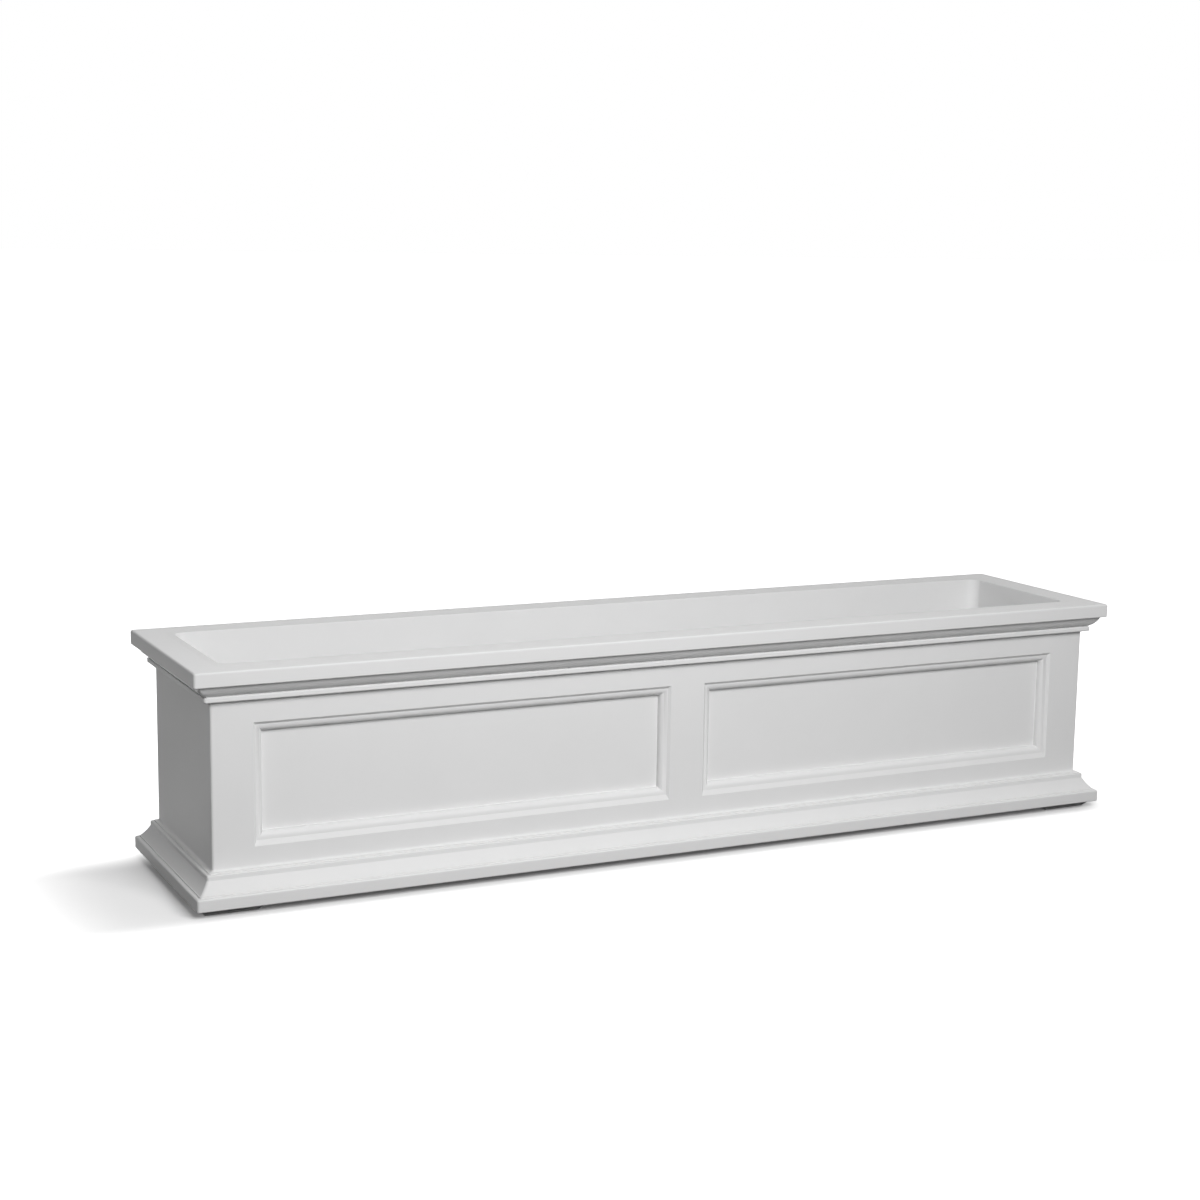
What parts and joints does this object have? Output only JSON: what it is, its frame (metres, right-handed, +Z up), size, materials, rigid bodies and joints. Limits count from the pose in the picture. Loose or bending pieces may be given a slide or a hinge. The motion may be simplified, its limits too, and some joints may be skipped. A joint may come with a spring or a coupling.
{
  "type": "window box",
  "caption": "Long white double-walled window box with a stepped cornice and base, recessed front panels and an open trough for soil.",
  "frame": {"origin": "centre of the footprint, on the floor", "axes": "+X along the length, towards the right as seen from the front, +Y towards the rear, +Z up"},
  "size_m": [1.2192, 0.2794, 0.2743],
  "materials": {
    "shell_white": "satin moulded polyethylene with a faint texture",
    "trough_white": "satin moulded polyethylene",
    "foot_white": "matt moulded plastic, scuffed below",
    "shelf_grey": "matt moulded plastic",
    "tube_grey": "smooth moulded plastic",
    "seal_rubber": "matt black rubber",
    "screw_steel": "bright zinc plating",
    "insert_brass": "turned brass"
  },
  "bodies": {
    "box": {"outer_shell": "shell_white", "inner_trough": "trough_white", "foot_front_left": "foot_white", "foot_front_right": "foot_white", "foot_rear_left": "foot_white", "foot_rear_right": "foot_white", "foot_screws": "screw_steel", "bracket_inserts": "insert_brass", "overflow_tube_left": "tube_grey", "overflow_tube_right": "tube_grey", "tube_grommet_left": "seal_rubber", "tube_grommet_right": "seal_rubber"},
    "shelf_left": {"soil_shelf_left": "shelf_grey"},
    "shelf_right": {"soil_shelf_right": "shelf_grey"}
  },
  "joints": [
    {"name": "shelf_left_lift", "type": "slide", "parent": "box", "child": "shelf_left", "axis": [0, 0, 1], "range_m": [0, 0.25]},
    {"name": "shelf_right_lift", "type": "slide", "parent": "box", "child": "shelf_right", "axis": [0, 0, 1], "range_m": [0, 0.25]}
  ]
}
